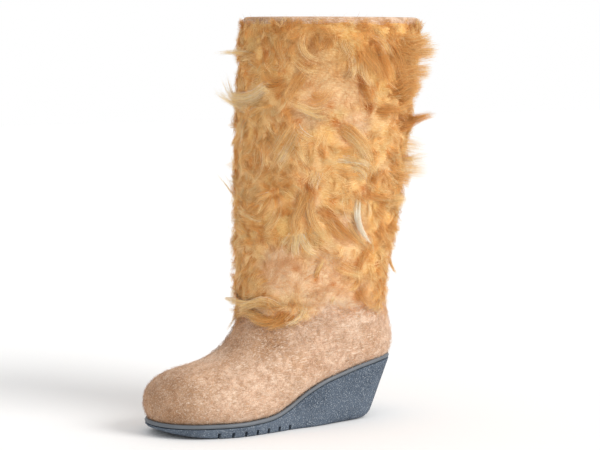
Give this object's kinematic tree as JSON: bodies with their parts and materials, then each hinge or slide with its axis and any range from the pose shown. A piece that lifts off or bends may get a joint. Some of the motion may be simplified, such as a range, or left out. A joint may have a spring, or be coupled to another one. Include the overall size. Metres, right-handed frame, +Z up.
{
  "type": "felt boot",
  "caption": "Left tall boot of seamless felt, with long matted fur round its shaft, a thin welt and a wedge sole with cross grooves.",
  "frame": {"origin": "on the floor under the middle of the felt foot's length, between its sides", "axes": "+Z up the shaft, -Y towards the toe, +X towards the outer side of the foot"},
  "size_m": [0.1416, 0.3083, 0.388],
  "materials": {
    "felt": "thick pressed wool felt, pinkish camel",
    "fur": "long matted golden fur",
    "welt": "smooth grey rubber",
    "rubber": "finely pitted blue-grey microcellular rubber",
    "insole": "soft felt"
  },
  "bodies": {
    "root": {"upper": "felt", "fur": "fur", "welt": "welt", "wedge_sole": "rubber", "insole": "insole"}
  },
  "joints": []
}
